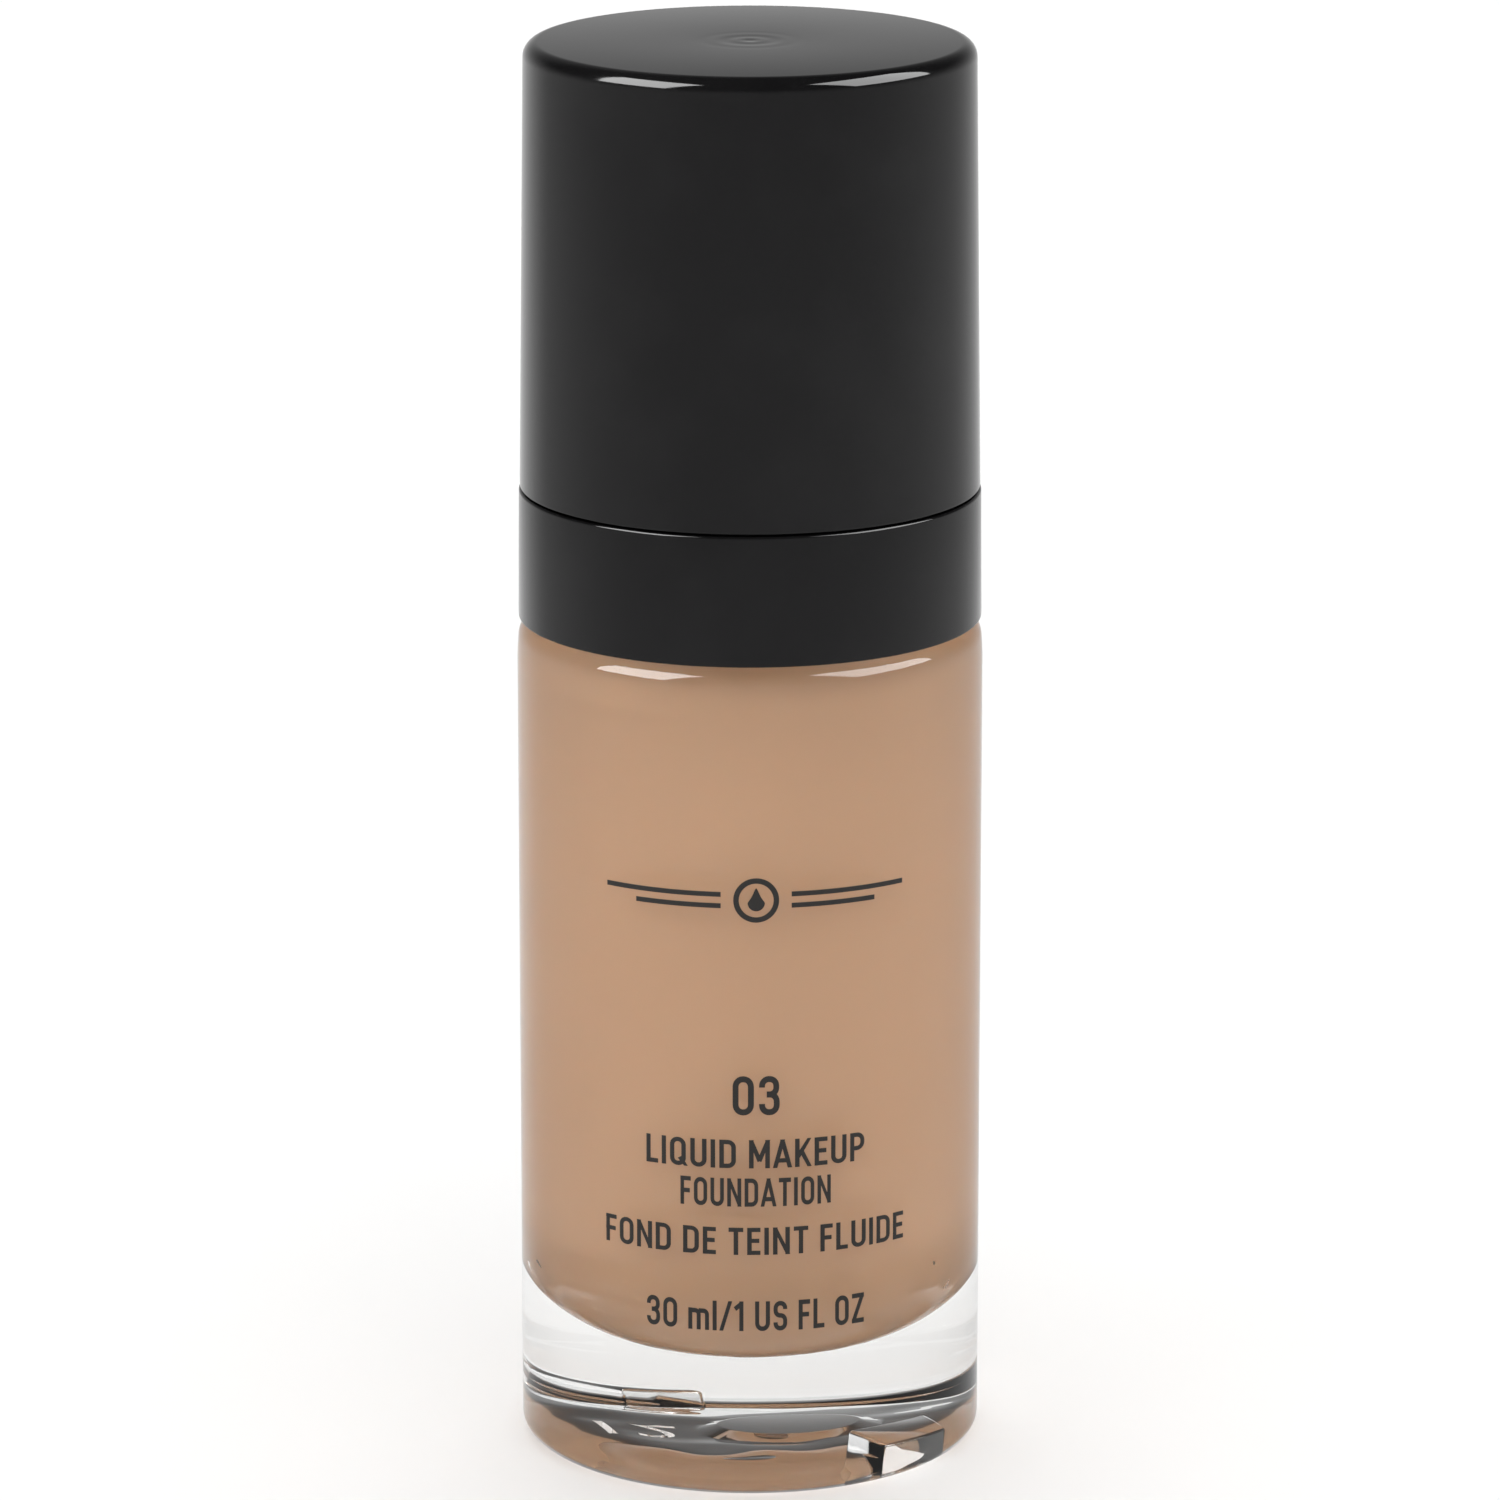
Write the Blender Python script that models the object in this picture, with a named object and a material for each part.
"""Foundation bottle: a heavy glass bottle, its screw-on dispensing pump and a pull-off overcap.

The origin is the centre of the base, on the surface that the bottle stands on, with +Z up.
The printed front of the bottle and the pump's spout face -Y. Every moving piece turns or
slides on the Z axis. Sizes are in millimetres here, and MM makes them metres in the meshes.
"""

import math

import bmesh
import bpy
from mathutils import Matrix, Vector

MM = 0.001

# Driving dimensions
TOTAL_HEIGHT = 104.6
GLASS_RADIUS = 17.0
WALL = 2.8
FLOOR = 8.45  # top of the thick glass base
SHOULDER = 62.25
LAND = 74.5  # top of the neck
NECK_RADIUS = 8.85
NECK_BORE = 5.6
THREAD_PITCH = 3.175
COLLAR_FOOT = 62.4
COLLAR_RADIUS = 16.9
SEAM = 71.9  # where the overcap meets the collar
CAP_FOOT_RADIUS = 16.75
CAP_TOP_RADIUS = 16.32
STROKE = 4.2
STACK_GAP = 0.15  # between pieces that are clamped on each other
SEAT_GAP = 0.12  # between pieces that rest on each other

# Glass
BASE_FILLET = 1.0
PUSH_UP = 2.2
PUSH_UP_RIM = 0.35  # height of the dome above the step down to the contact ring
CONTACT_RADIUS = 12.6  # inner edge of the ring that the bottle stands on
FLARE = 0.1
FLARE_HEIGHT = 3.25
SHOULDER_FILLET = 1.15
CAVITY_RADIUS = GLASS_RADIUS - WALL
CAVITY_TOP = SHOULDER - 1.1
CAVITY_CORNER = 10.0
CAVITY_SHOULDER = 0.75

# Screw thread: the bead on the neck and the bead inside the closure
THREAD_START = 66.4
THREAD_CREST = 9.8
CLOSURE_BORE = 10.2
CLOSURE_CREST = 9.15
CLOSURE_RADIUS = 11.7

# The clamped stack above the neck
GASKET_THICKNESS = 0.8
FLANGE_THICKNESS = 0.8
TURRET_FLANGE = 0.6
PANEL_THICKNESS = 1.1
GASKET_FOOT = LAND + STACK_GAP
HOUSING_FLANGE = GASKET_FOOT + GASKET_THICKNESS + STACK_GAP
TURRET_FOOT = HOUSING_FLANGE + FLANGE_THICKNESS + STACK_GAP
CLOSURE_PANEL = TURRET_FOOT + TURRET_FLANGE + STACK_GAP
COLLAR_PANEL = CLOSURE_PANEL + PANEL_THICKNESS + STACK_GAP
COLLAR_TOP = COLLAR_PANEL + PANEL_THICKNESS
PANEL_HOLE = 4.85

# Collar
COLLAR_WALL = 1.2
SNAP_RADIUS = 14.25
GRIP_BORE = 11.9
GRIP_RADIUS = 12.9

# Pump
HUB_RADIUS = 4.6
HUB_TOP = 83.0
HUB_BORE = 3.4
WEB_THICKNESS = 1.0
HOUSING_RADIUS = 4.7
CHAMBER_BORE = 3.7
CHAMBER_TOP = 73.6
CHAMBER_FOOT = 57.5
PASSAGE = 1.0  # radius of the liquid's way, at the ball's seat and up the stem
BALL_RADIUS = 1.5
BALL_HEIGHT = 54.8
BALL_POCKET = 1.8
BALL_SEAT = BALL_HEIGHT + PASSAGE - (BALL_RADIUS + 0.1) * math.sqrt(2)  # foot of a 45 degree cone
TUBE_STOP = BALL_SEAT - 0.6
NIPPLE_FOOT = 46.9
NIPPLE_RADIUS = 2.5
TUBE_RADIUS = 1.5
TUBE_BORE = 0.95
TUBE_FOOT = 9.9
STEM_RADIUS = 2.35
STEM_TOP = 94.0
STEM_FOOT = 67.4
STEM_STOP = 3.1  # radius of the shoulder that the turret's web holds back
SLEEVE_RADIUS = 1.75  # the stem where the piston slides
PORT_HEIGHT = 69.2
PISTON_FOOT = 67.5
PISTON_LENGTH = 5.4
PISTON_SLIP = 0.6
PLUG_FOOT = STEM_FOOT - 1.4  # the face that the spring pushes
SPRING_WIRE = 0.22
SPRING_RADIUS = 2.5
SPRING_COILS = 6

# Actuator
ACTUATOR_RADIUS = 6.6
ACTUATOR_TOP = 100.0
SKIRT_WALL = 1.1
SKIRT_FOOT = COLLAR_TOP + STROKE + 0.3
CHIMNEY_FOOT = HUB_TOP + STROKE + 0.3
CHIMNEY_RADIUS = 3.7
SOCKET_BORE = STEM_RADIUS + 0.1
SPOUT_HEIGHT = 96.4
SPOUT_RADIUS = 1.9
SPOUT_REACH = 10.6
INSERT_RADIUS = 1.2
INSERT_LENGTH = 1.6

# Overcap
CAP_FOOT = SEAM + SEAT_GAP
CAP_FILLET = 1.1
CAP_CEILING = 103.0
SHELL_BORE_FOOT = 15.6
SHELL_BORE_TOP = 15.35
LINER_FOOT = 72.4
LINER_TOP = 102.7
LINER_WALL = 0.8
SINK_RADIUS = 2.6  # shallow mark of the moulding gate, in the middle of the cap's top
SINK_DEPTH = 0.12

# Facets round the axis, and along a fillet
COARSE, MEDIUM, FINE = 20, 28, 40
SMALL_FILLET_STEPS, LARGE_FILLET_STEPS, BOWL_STEPS = 2, 4, 8


def material(name, colour, roughness, metallic=0.0, transmission=0.0):
    """A Principled material."""
    made = bpy.data.materials.new(name)
    made.use_nodes = True
    shader = made.node_tree.nodes["Principled BSDF"]
    shader.inputs["Base Color"].default_value = (*colour, 1.0)
    shader.inputs["Roughness"].default_value = roughness
    shader.inputs["Metallic"].default_value = metallic
    shader.inputs["Transmission Weight"].default_value = transmission
    return made


def outline(corners):
    """Points of an outline from its corners: (radius, height), or (radius, height, fillet)."""
    points = []
    for index, corner in enumerate(corners):
        here = Vector(corner[:2])
        if len(corner) == 2:
            points.append(here)
            continue
        back = (Vector(corners[index - 1][:2]) - here).normalized()
        ahead = (Vector(corners[(index + 1) % len(corners)][:2]) - here).normalized()
        half = back.angle(ahead) / 2
        fillet = corner[2]
        centre = here + (back + ahead).normalized() * fillet / math.sin(half)
        start = here + back * fillet / math.tan(half) - centre
        sweep = math.pi - 2 * half
        if back.x * ahead.y - back.y * ahead.x > 0:
            sweep = -sweep
        steps = SMALL_FILLET_STEPS if fillet < 0.7 else LARGE_FILLET_STEPS
        if fillet > 5:
            steps = BOWL_STEPS
        for step in range(steps + 1):
            turn = Matrix.Rotation(sweep * step / steps, 2)
            points.append(centre + turn @ start)
    return points


def placed(name, bm, finish, body):
    """An object from a bmesh in millimetres, smooth-shaded, on its body's empty."""
    bmesh.ops.scale(bm, vec=(MM, MM, MM), verts=bm.verts)
    bmesh.ops.recalc_face_normals(bm, faces=bm.faces)
    mesh = bpy.data.meshes.new(name)
    bm.to_mesh(mesh)
    bm.free()
    mesh.shade_smooth()
    mesh.set_sharp_from_angle(angle=math.radians(35))
    mesh.materials.append(finish)
    obj = bpy.data.objects.new(name, mesh)
    bpy.context.scene.collection.objects.link(obj)
    obj.parent = body
    return obj


def turned(name, corners, finish, body, segments=MEDIUM):
    """A solid of revolution round Z. An outline that starts and ends on the axis is closed by it."""
    bm = bmesh.new()
    verts = [bm.verts.new((point.x, 0, point.y)) for point in outline(corners)]
    edges = [
        bm.edges.new((a, b))
        for a, b in zip(verts, verts[1:] + verts[:1])
        if a.co.x > 0 or b.co.x > 0
    ]
    bmesh.ops.spin(
        bm, geom=verts + edges, axis=(0, 0, 1), angle=math.tau, steps=segments, use_merge=True
    )
    bmesh.ops.remove_doubles(bm, verts=bm.verts, dist=0.001)
    return placed(name, bm, finish, body)


def helper(obj):
    """Marks an object as a tool that only shapes another piece."""
    obj.hide_render = True
    obj.display_type = "WIRE"
    return obj


def shaped(obj, tool, operation):
    """Joins a tool to a piece, or cuts it away, with a Boolean."""
    modifier = obj.modifiers.new(tool.name, "BOOLEAN")
    modifier.operation = operation
    modifier.object = helper(tool)


def bar(name, start, end, radius, finish, body, end_radius=None, segments=COARSE):
    """A round bar or cone from one point to another."""
    start, end = Vector(start), Vector(end)
    along = end - start
    turn = along.to_track_quat("Z", "Y")
    bm = bmesh.new()
    bmesh.ops.create_cone(
        bm,
        cap_ends=True,
        segments=segments,
        radius1=radius,
        radius2=radius if end_radius is None else end_radius,
        depth=along.length,
        matrix=Matrix.Translation((start + end) / 2) @ turn.to_matrix().to_4x4(),
    )
    return placed(name, bm, finish, body)


def thread_bead(name, root, crest, widths, start, turns, finish, body, steps_per_turn=24):
    """A helical bead whose height fades in and out over its first and last eighth of a turn."""
    bm = bmesh.new()
    steps = round(turns * steps_per_turn)
    fade = steps_per_turn / 8
    start_angle, start_height = start
    rings = []
    for step in range(steps + 1):
        angle = start_angle + math.tau * step / steps_per_turn
        height = start_height + THREAD_PITCH * step / steps_per_turn
        rise = min(1.0, (step + 0.4) / fade, (steps - step + 0.4) / fade)
        tip = root + (crest - root) * (0.45 + 0.55 * rise)
        section = [
            (root, -widths[0] / 2),
            (tip, -widths[1] / 2),
            (tip, widths[1] / 2),
            (root, widths[0] / 2),
        ]
        rings.append(
            [
                bm.verts.new((radius * math.cos(angle), radius * math.sin(angle), height + offset))
                for radius, offset in section
            ]
        )
    for ring, following in zip(rings, rings[1:]):
        for side in range(4):
            after = (side + 1) % 4
            bm.faces.new((ring[side], ring[after], following[after], following[side]))
    bm.faces.new(rings[0])
    bm.faces.new(rings[-1])
    return placed(name, bm, finish, body)


def glass_bottle(finish, body):
    """Round bottle with a thick base, a pushed-up underside, a flat shoulder and a threaded neck."""
    flare_foot = SHOULDER - FLARE_HEIGHT
    flare = [
        (GLASS_RADIUS - FLARE * share**2, flare_foot + (FLARE_HEIGHT - SHOULDER_FILLET) * share)
        for share in (0, 1 / 3, 2 / 3)
    ]
    dome = [
        ((CONTACT_RADIUS - 0.6) * share, PUSH_UP_RIM + (PUSH_UP - PUSH_UP_RIM) * (1 - share**2))
        for share in (0, 1 / 4, 1 / 2, 3 / 4)
    ]
    bottle = turned(
        "glass_bottle",
        [
            *dome,
            (CONTACT_RADIUS - 0.6, PUSH_UP_RIM, 0.3),
            (CONTACT_RADIUS, 0, 0.35),
            (GLASS_RADIUS, 0, BASE_FILLET),
            *flare,
            (GLASS_RADIUS - 1.6 * FLARE, SHOULDER, SHOULDER_FILLET),
            (NECK_RADIUS, SHOULDER, 0.6),
            (NECK_RADIUS, LAND, 0.5),
            (NECK_BORE, LAND, 0.4),
            (NECK_BORE, CAVITY_TOP + 0.5, 0.8),
            (CAVITY_RADIUS, CAVITY_TOP, CAVITY_SHOULDER),
            (CAVITY_RADIUS, FLOOR, CAVITY_CORNER),
            (0, FLOOR),
        ],
        finish,
        body,
        FINE,
    )
    bead = thread_bead(
        "neck_thread", 8.4, THREAD_CREST, (1.95, 1.0), (0, THREAD_START), 1.25, finish, body
    )
    shaped(bottle, bead, "UNION")


def foundation_liquid(finish, body):
    """The filling, up to the shoulder, with a clear way for the pump that hangs in it."""
    clear = 0.3
    turned(
        "foundation_liquid",
        [
            (TUBE_RADIUS + clear, FLOOR + clear),
            (CAVITY_RADIUS - clear, FLOOR + clear, CAVITY_CORNER - clear),
            (CAVITY_RADIUS - clear, CAVITY_TOP - clear, CAVITY_SHOULDER - clear),
            (HOUSING_RADIUS + clear, CAVITY_TOP - clear),
            (HOUSING_RADIUS + clear, 55.5),
            (NIPPLE_RADIUS + clear, 52.5),
            (NIPPLE_RADIUS + clear, NIPPLE_FOOT - clear),
            (TUBE_RADIUS + clear, NIPPLE_FOOT - clear),
        ],
        finish,
        body,
        FINE,
    )


def neck_gasket(finish, body):
    """Flat washer that seals the pump on the top of the neck."""
    top = GASKET_FOOT + GASKET_THICKNESS
    turned("neck_gasket", [(5.5, GASKET_FOOT), (8.5, GASKET_FOOT), (8.5, top), (5.5, top)], finish, body)


def pump_housing(finish, body):
    """The pump's cylinder: flange, chamber, ball seat and the nipple that holds the dip tube."""
    housing = turned(
        "pump_housing",
        [
            (8.4, HOUSING_FLANGE),
            (8.4, HOUSING_FLANGE + FLANGE_THICKNESS),
            (4.4, HOUSING_FLANGE + FLANGE_THICKNESS),
            (4.4, CHAMBER_TOP),
            (CHAMBER_BORE, CHAMBER_TOP - 0.3),
            (CHAMBER_BORE, CHAMBER_FOOT),
            (1.35, CHAMBER_FOOT),
            (1.35, CHAMBER_FOOT - 0.4),
            (BALL_POCKET, CHAMBER_FOOT - 0.4),
            (BALL_POCKET, BALL_SEAT + BALL_POCKET - PASSAGE),
            (PASSAGE, BALL_SEAT),
            (PASSAGE, TUBE_STOP),
            (TUBE_RADIUS + 0.1, TUBE_STOP),
            (TUBE_RADIUS + 0.1, NIPPLE_FOOT),
            (NIPPLE_RADIUS, NIPPLE_FOOT),
            (NIPPLE_RADIUS, 52.8),
            (HOUSING_RADIUS, 56.0),
            (HOUSING_RADIUS, 71.0),
            (5.2, 71.6),
            (5.2, HOUSING_FLANGE),
        ],
        finish,
        body,
    )
    vent = bar("vent_drill", (3, 0, 74.6), (6, 0, 74.6), 0.3, finish, body, segments=8)
    shaped(housing, vent, "DIFFERENCE")


def turret(finish, body):
    """Ring that closes the housing and guides the stem, with the hub that shows above the collar."""
    flange_top = TURRET_FOOT + TURRET_FLANGE
    turned(
        "turret",
        [
            (HUB_BORE, CHAMBER_TOP + 0.6),
            (4.2, CHAMBER_TOP + 0.6),
            (4.2, TURRET_FOOT),
            (8.3, TURRET_FOOT),
            (8.3, flange_top),
            (HUB_RADIUS, flange_top),
            (HUB_RADIUS, HUB_TOP, 0.5),
            (STEM_RADIUS + 0.15, HUB_TOP),
            (STEM_RADIUS + 0.15, HUB_TOP - WEB_THICKNESS),
            (HUB_BORE, HUB_TOP - WEB_THICKNESS),
        ],
        finish,
        body,
    )


def dip_tube(finish, body):
    """Straight tube down to the glass floor, with its lower end cut at a slant."""
    top = TUBE_STOP - 0.15
    tube = turned(
        "dip_tube",
        [(TUBE_BORE, TUBE_FOOT), (TUBE_RADIUS, TUBE_FOOT), (TUBE_RADIUS, top), (TUBE_BORE, top)],
        finish,
        body,
        COARSE,
    )
    slant = 0.6
    for vertex in tube.data.vertices:
        if vertex.co.z < (TUBE_FOOT + 0.1) * MM:
            vertex.co.z += (vertex.co.x + TUBE_RADIUS * MM) * slant


def inlet_ball(finish, body):
    """Steel ball that lets liquid up into the chamber and not back."""
    bm = bmesh.new()
    bmesh.ops.create_uvsphere(
        bm,
        u_segments=20,
        v_segments=12,
        radius=BALL_RADIUS,
        matrix=Matrix.Translation((0, 0, BALL_HEIGHT)),
    )
    placed("inlet_ball", bm, finish, body)


def return_spring(finish, body):
    """Compression spring between the chamber's floor and the plug under the stem."""
    foot = CHAMBER_FOOT + SPRING_WIRE + 0.1
    length = PLUG_FOOT - SPRING_WIRE - 0.1 - foot
    steps = 16 * SPRING_COILS
    curve = bpy.data.curves.new("return_spring", "CURVE")
    curve.dimensions = "3D"
    curve.bevel_depth = SPRING_WIRE * MM
    curve.bevel_resolution = 1
    curve.use_fill_caps = True
    coil = curve.splines.new("POLY")
    coil.points.add(steps)
    for step, point in enumerate(coil.points):
        angle = math.tau * SPRING_COILS * step / steps
        point.co = (
            SPRING_RADIUS * MM * math.cos(angle),
            SPRING_RADIUS * MM * math.sin(angle),
            (foot + length * step / steps) * MM,
            1.0,
        )
    curve.materials.append(finish)
    obj = bpy.data.objects.new("return_spring", curve)
    bpy.context.scene.collection.objects.link(obj)
    obj.parent = body


def pump_stem(finish, body):
    """Hollow stem with a stop under the turret's web, a step above the piston and two low ports."""
    stop_top = HUB_TOP - WEB_THICKNESS - 0.2
    stop_foot = stop_top - 1.2
    piston_step = PISTON_FOOT + PISTON_LENGTH + PISTON_SLIP + 0.1
    stem = turned(
        "pump_stem",
        [
            (PASSAGE, STEM_FOOT),
            (SLEEVE_RADIUS, STEM_FOOT),
            (SLEEVE_RADIUS, piston_step),
            (STEM_RADIUS, piston_step),
            (STEM_RADIUS, stop_foot),
            (STEM_STOP, stop_foot),
            (STEM_STOP, stop_top),
            (STEM_RADIUS, stop_top),
            (STEM_RADIUS, STEM_TOP, 0.3),
            (PASSAGE, STEM_TOP),
        ],
        finish,
        body,
        COARSE,
    )
    ports = bar("port_drill", (-3, 0, PORT_HEIGHT), (3, 0, PORT_HEIGHT), 0.5, finish, body, segments=10)
    shaped(stem, ports, "DIFFERENCE")


def stem_plug(finish, body):
    """Plug pressed into the stem's foot: the piston's seat above, the spring's guide below."""
    turned(
        "stem_plug",
        [
            (0, PLUG_FOOT - 1.2),
            (1.7, PLUG_FOOT - 1.2, 0.4),
            (1.8, PLUG_FOOT),
            (2.9, PLUG_FOOT),
            (2.9, PLUG_FOOT + 0.7),
            (2.3, STEM_FOOT - 0.15),
            (PASSAGE - 0.12, STEM_FOOT - 0.15),
            (PASSAGE - 0.12, STEM_FOOT + 1.0),
            (0, STEM_FOOT + 1.0),
        ],
        finish,
        body,
        COARSE,
    )


def piston(finish, body):
    """Sleeve on the stem with two lips that wipe the chamber."""
    foot, lip = PISTON_FOOT, CHAMBER_BORE - 0.08
    turned(
        "piston",
        [
            (SLEEVE_RADIUS + 0.12, foot),
            (2.5, foot),
            (3.1, foot + 0.2),
            (lip, foot),
            (lip, foot + 0.5),
            (3.3, foot + 1.6),
            (3.3, foot + 3.4),
            (lip, foot + 4.5),
            (lip, foot + 5.0),
            (3.1, foot + 4.6),
            (2.6, foot + 3.0),
            (2.6, foot + PISTON_LENGTH),
            (SLEEVE_RADIUS + 0.12, foot + PISTON_LENGTH),
        ],
        finish,
        body,
    )


def screw_closure(finish, body):
    """Threaded ring that clamps the pump on the neck, hidden under the collar."""
    foot = SHOULDER + 1.6
    closure = turned(
        "screw_closure",
        [
            (CLOSURE_BORE, foot),
            (CLOSURE_RADIUS, foot),
            (CLOSURE_RADIUS, CLOSURE_PANEL + PANEL_THICKNESS, 0.4),
            (PANEL_HOLE, CLOSURE_PANEL + PANEL_THICKNESS),
            (PANEL_HOLE, CLOSURE_PANEL),
            (CLOSURE_BORE, CLOSURE_PANEL),
        ],
        finish,
        body,
        FINE,
    )
    bead_start = (math.pi / 2, THREAD_START - THREAD_PITCH / 4)
    bead = thread_bead(
        "closure_thread", 10.6, CLOSURE_CREST, (1.15, 0.8), bead_start, 1.25, finish, body
    )
    shaped(closure, bead, "UNION")


def collar_sleeve(finish, body):
    """The visible ring under the overcap: skirt, ledge, snap wall and the tube that grips the closure."""
    skirt_bore = COLLAR_RADIUS - COLLAR_WALL
    ledge = SEAM - 1.2
    turned(
        "collar_sleeve",
        [
            (skirt_bore, COLLAR_FOOT),
            (COLLAR_RADIUS, COLLAR_FOOT, 0.15),
            (COLLAR_RADIUS - 0.08, SEAM, 0.2),
            (SNAP_RADIUS, SEAM),
            (SNAP_RADIUS, SEAM + 2.6),
            (SNAP_RADIUS + 0.12, SEAM + 3.0),
            (SNAP_RADIUS, SEAM + 3.4),
            (SNAP_RADIUS, COLLAR_TOP, 0.6),
            (PANEL_HOLE, COLLAR_TOP),
            (PANEL_HOLE, COLLAR_PANEL),
            (GRIP_BORE, COLLAR_PANEL),
            (GRIP_BORE, 66.0),
            (GRIP_RADIUS, 66.0),
            (GRIP_RADIUS, ledge),
            (skirt_bore, ledge),
        ],
        finish,
        body,
        FINE,
    )


def actuator_button(finish, body):
    """Push button with a dished top, a skirt, a chimney that takes the stem, and a spout."""
    skirt_bore = ACTUATOR_RADIUS - SKIRT_WALL
    ceiling = 92.5
    button = turned(
        "actuator_button",
        [
            (SOCKET_BORE, CHIMNEY_FOOT),
            (CHIMNEY_RADIUS, CHIMNEY_FOOT),
            (CHIMNEY_RADIUS, ceiling),
            (skirt_bore, ceiling),
            (skirt_bore, SKIRT_FOOT),
            (ACTUATOR_RADIUS, SKIRT_FOOT, 0.2),
            (ACTUATOR_RADIUS, ACTUATOR_TOP, 0.8),
            (ACTUATOR_RADIUS - 1.6, ACTUATOR_TOP),
            (0, ACTUATOR_TOP - 0.8),
            (0, STEM_TOP + 0.3),
            (SOCKET_BORE, STEM_TOP + 0.3),
        ],
        finish,
        body,
        FINE,
    )
    spout_tip = (0, -SPOUT_REACH, SPOUT_HEIGHT)
    spout = bar(
        "spout_boss",
        (0, -3, SPOUT_HEIGHT),
        spout_tip,
        SPOUT_RADIUS + 0.35,
        finish,
        body,
        end_radius=SPOUT_RADIUS,
    )
    riser = bar("riser_drill", (0, 0, STEM_TOP - 1), (0, 0, SPOUT_HEIGHT), 0.9, finish, body, segments=12)
    channel = bar(
        "channel_drill",
        (0, 1.2, SPOUT_HEIGHT),
        (0, -SPOUT_REACH - 1, SPOUT_HEIGHT),
        0.8,
        finish,
        body,
        segments=12,
    )
    insert_seat = bar(
        "insert_drill",
        (0, -SPOUT_REACH + INSERT_LENGTH + 0.15, SPOUT_HEIGHT),
        (0, -SPOUT_REACH - 1, SPOUT_HEIGHT),
        INSERT_RADIUS + 0.12,
        finish,
        body,
    )
    shaped(button, spout, "UNION")
    for tool in (riser, channel, insert_seat):
        shaped(button, tool, "DIFFERENCE")


def nozzle_insert(finish, body):
    """Small ring in the spout's mouth that sizes the bead of foundation."""
    tip, seat = (0, -SPOUT_REACH - 0.25, SPOUT_HEIGHT), (0, INSERT_LENGTH - SPOUT_REACH, SPOUT_HEIGHT)
    insert = bar("nozzle_insert", seat, tip, INSERT_RADIUS, finish, body)
    beyond = ((0, -SPOUT_REACH - 1, SPOUT_HEIGHT), (0, 3 - SPOUT_REACH, SPOUT_HEIGHT))
    hole = bar("nozzle_drill", *beyond, 0.6, finish, body, segments=16)
    shaped(insert, hole, "DIFFERENCE")


def cap_shell(finish, body):
    """Tapered outer shell of the overcap, open below, with a small gate mark in its flat top."""
    turned(
        "cap_shell",
        [
            (0, TOTAL_HEIGHT - SINK_DEPTH),
            (0, CAP_CEILING),
            (SHELL_BORE_TOP, CAP_CEILING, 0.5),
            (SHELL_BORE_FOOT, CAP_FOOT),
            (CAP_FOOT_RADIUS, CAP_FOOT, 0.2),
            (CAP_TOP_RADIUS, TOTAL_HEIGHT, CAP_FILLET),
            (SINK_RADIUS, TOTAL_HEIGHT),
        ],
        finish,
        body,
        FINE,
    )


def cap_liner(finish, body):
    """Inner cup of the overcap, which snaps over the collar's wall."""
    outer_foot, outer_top = SHELL_BORE_FOOT - 0.2, SHELL_BORE_TOP - 0.2
    turned(
        "cap_liner",
        [
            (0, LINER_TOP),
            (0, LINER_TOP - LINER_WALL),
            (outer_top - LINER_WALL, LINER_TOP - LINER_WALL, 0.5),
            (outer_foot - LINER_WALL, LINER_FOOT),
            (outer_foot, LINER_FOOT),
            (outer_top, LINER_TOP, 0.8),
        ],
        finish,
        body,
        FINE,
    )


def axis_empty(name, parent=None):
    """An empty on the Z axis that carries one body's pieces."""
    empty = bpy.data.objects.new(name, None)
    bpy.context.scene.collection.objects.link(empty)
    empty.parent = parent
    return empty


def main():
    for obj in list(bpy.data.objects):
        bpy.data.objects.remove(obj)

    glass = material("glass", (0.94, 0.96, 0.95), 0.02, transmission=1.0)
    cream = material("foundation", (0.52, 0.31, 0.19), 0.35)
    gloss_black = material("gloss_black", (0.008, 0.008, 0.009), 0.1)
    matte_black = material("matte_black", (0.02, 0.02, 0.02), 0.5)
    natural = material("natural_plastic", (0.75, 0.76, 0.74), 0.4)
    seal = material("seal", (0.6, 0.6, 0.58), 0.6)
    steel = material("steel", (0.6, 0.6, 0.6), 0.2, metallic=1.0)

    bottle = axis_empty("bottle_body")
    pump = axis_empty("pump_body", bottle)
    closure = axis_empty("closure_body", pump)
    overcap = axis_empty("overcap_body", closure)
    stem = axis_empty("stem_body", pump)
    piston_axis = axis_empty("piston_body", stem)
    actuator = axis_empty("actuator_body", stem)
    ball = axis_empty("ball_body", pump)

    glass_bottle(glass, bottle)
    foundation_liquid(cream, bottle)
    neck_gasket(seal, pump)
    pump_housing(natural, pump)
    turret(natural, pump)
    dip_tube(natural, pump)
    return_spring(steel, pump)
    inlet_ball(steel, ball)
    pump_stem(natural, stem)
    stem_plug(natural, stem)
    piston(seal, piston_axis)
    screw_closure(matte_black, closure)
    collar_sleeve(gloss_black, closure)
    actuator_button(gloss_black, actuator)
    nozzle_insert(matte_black, actuator)
    cap_shell(gloss_black, overcap)
    cap_liner(matte_black, overcap)


main()
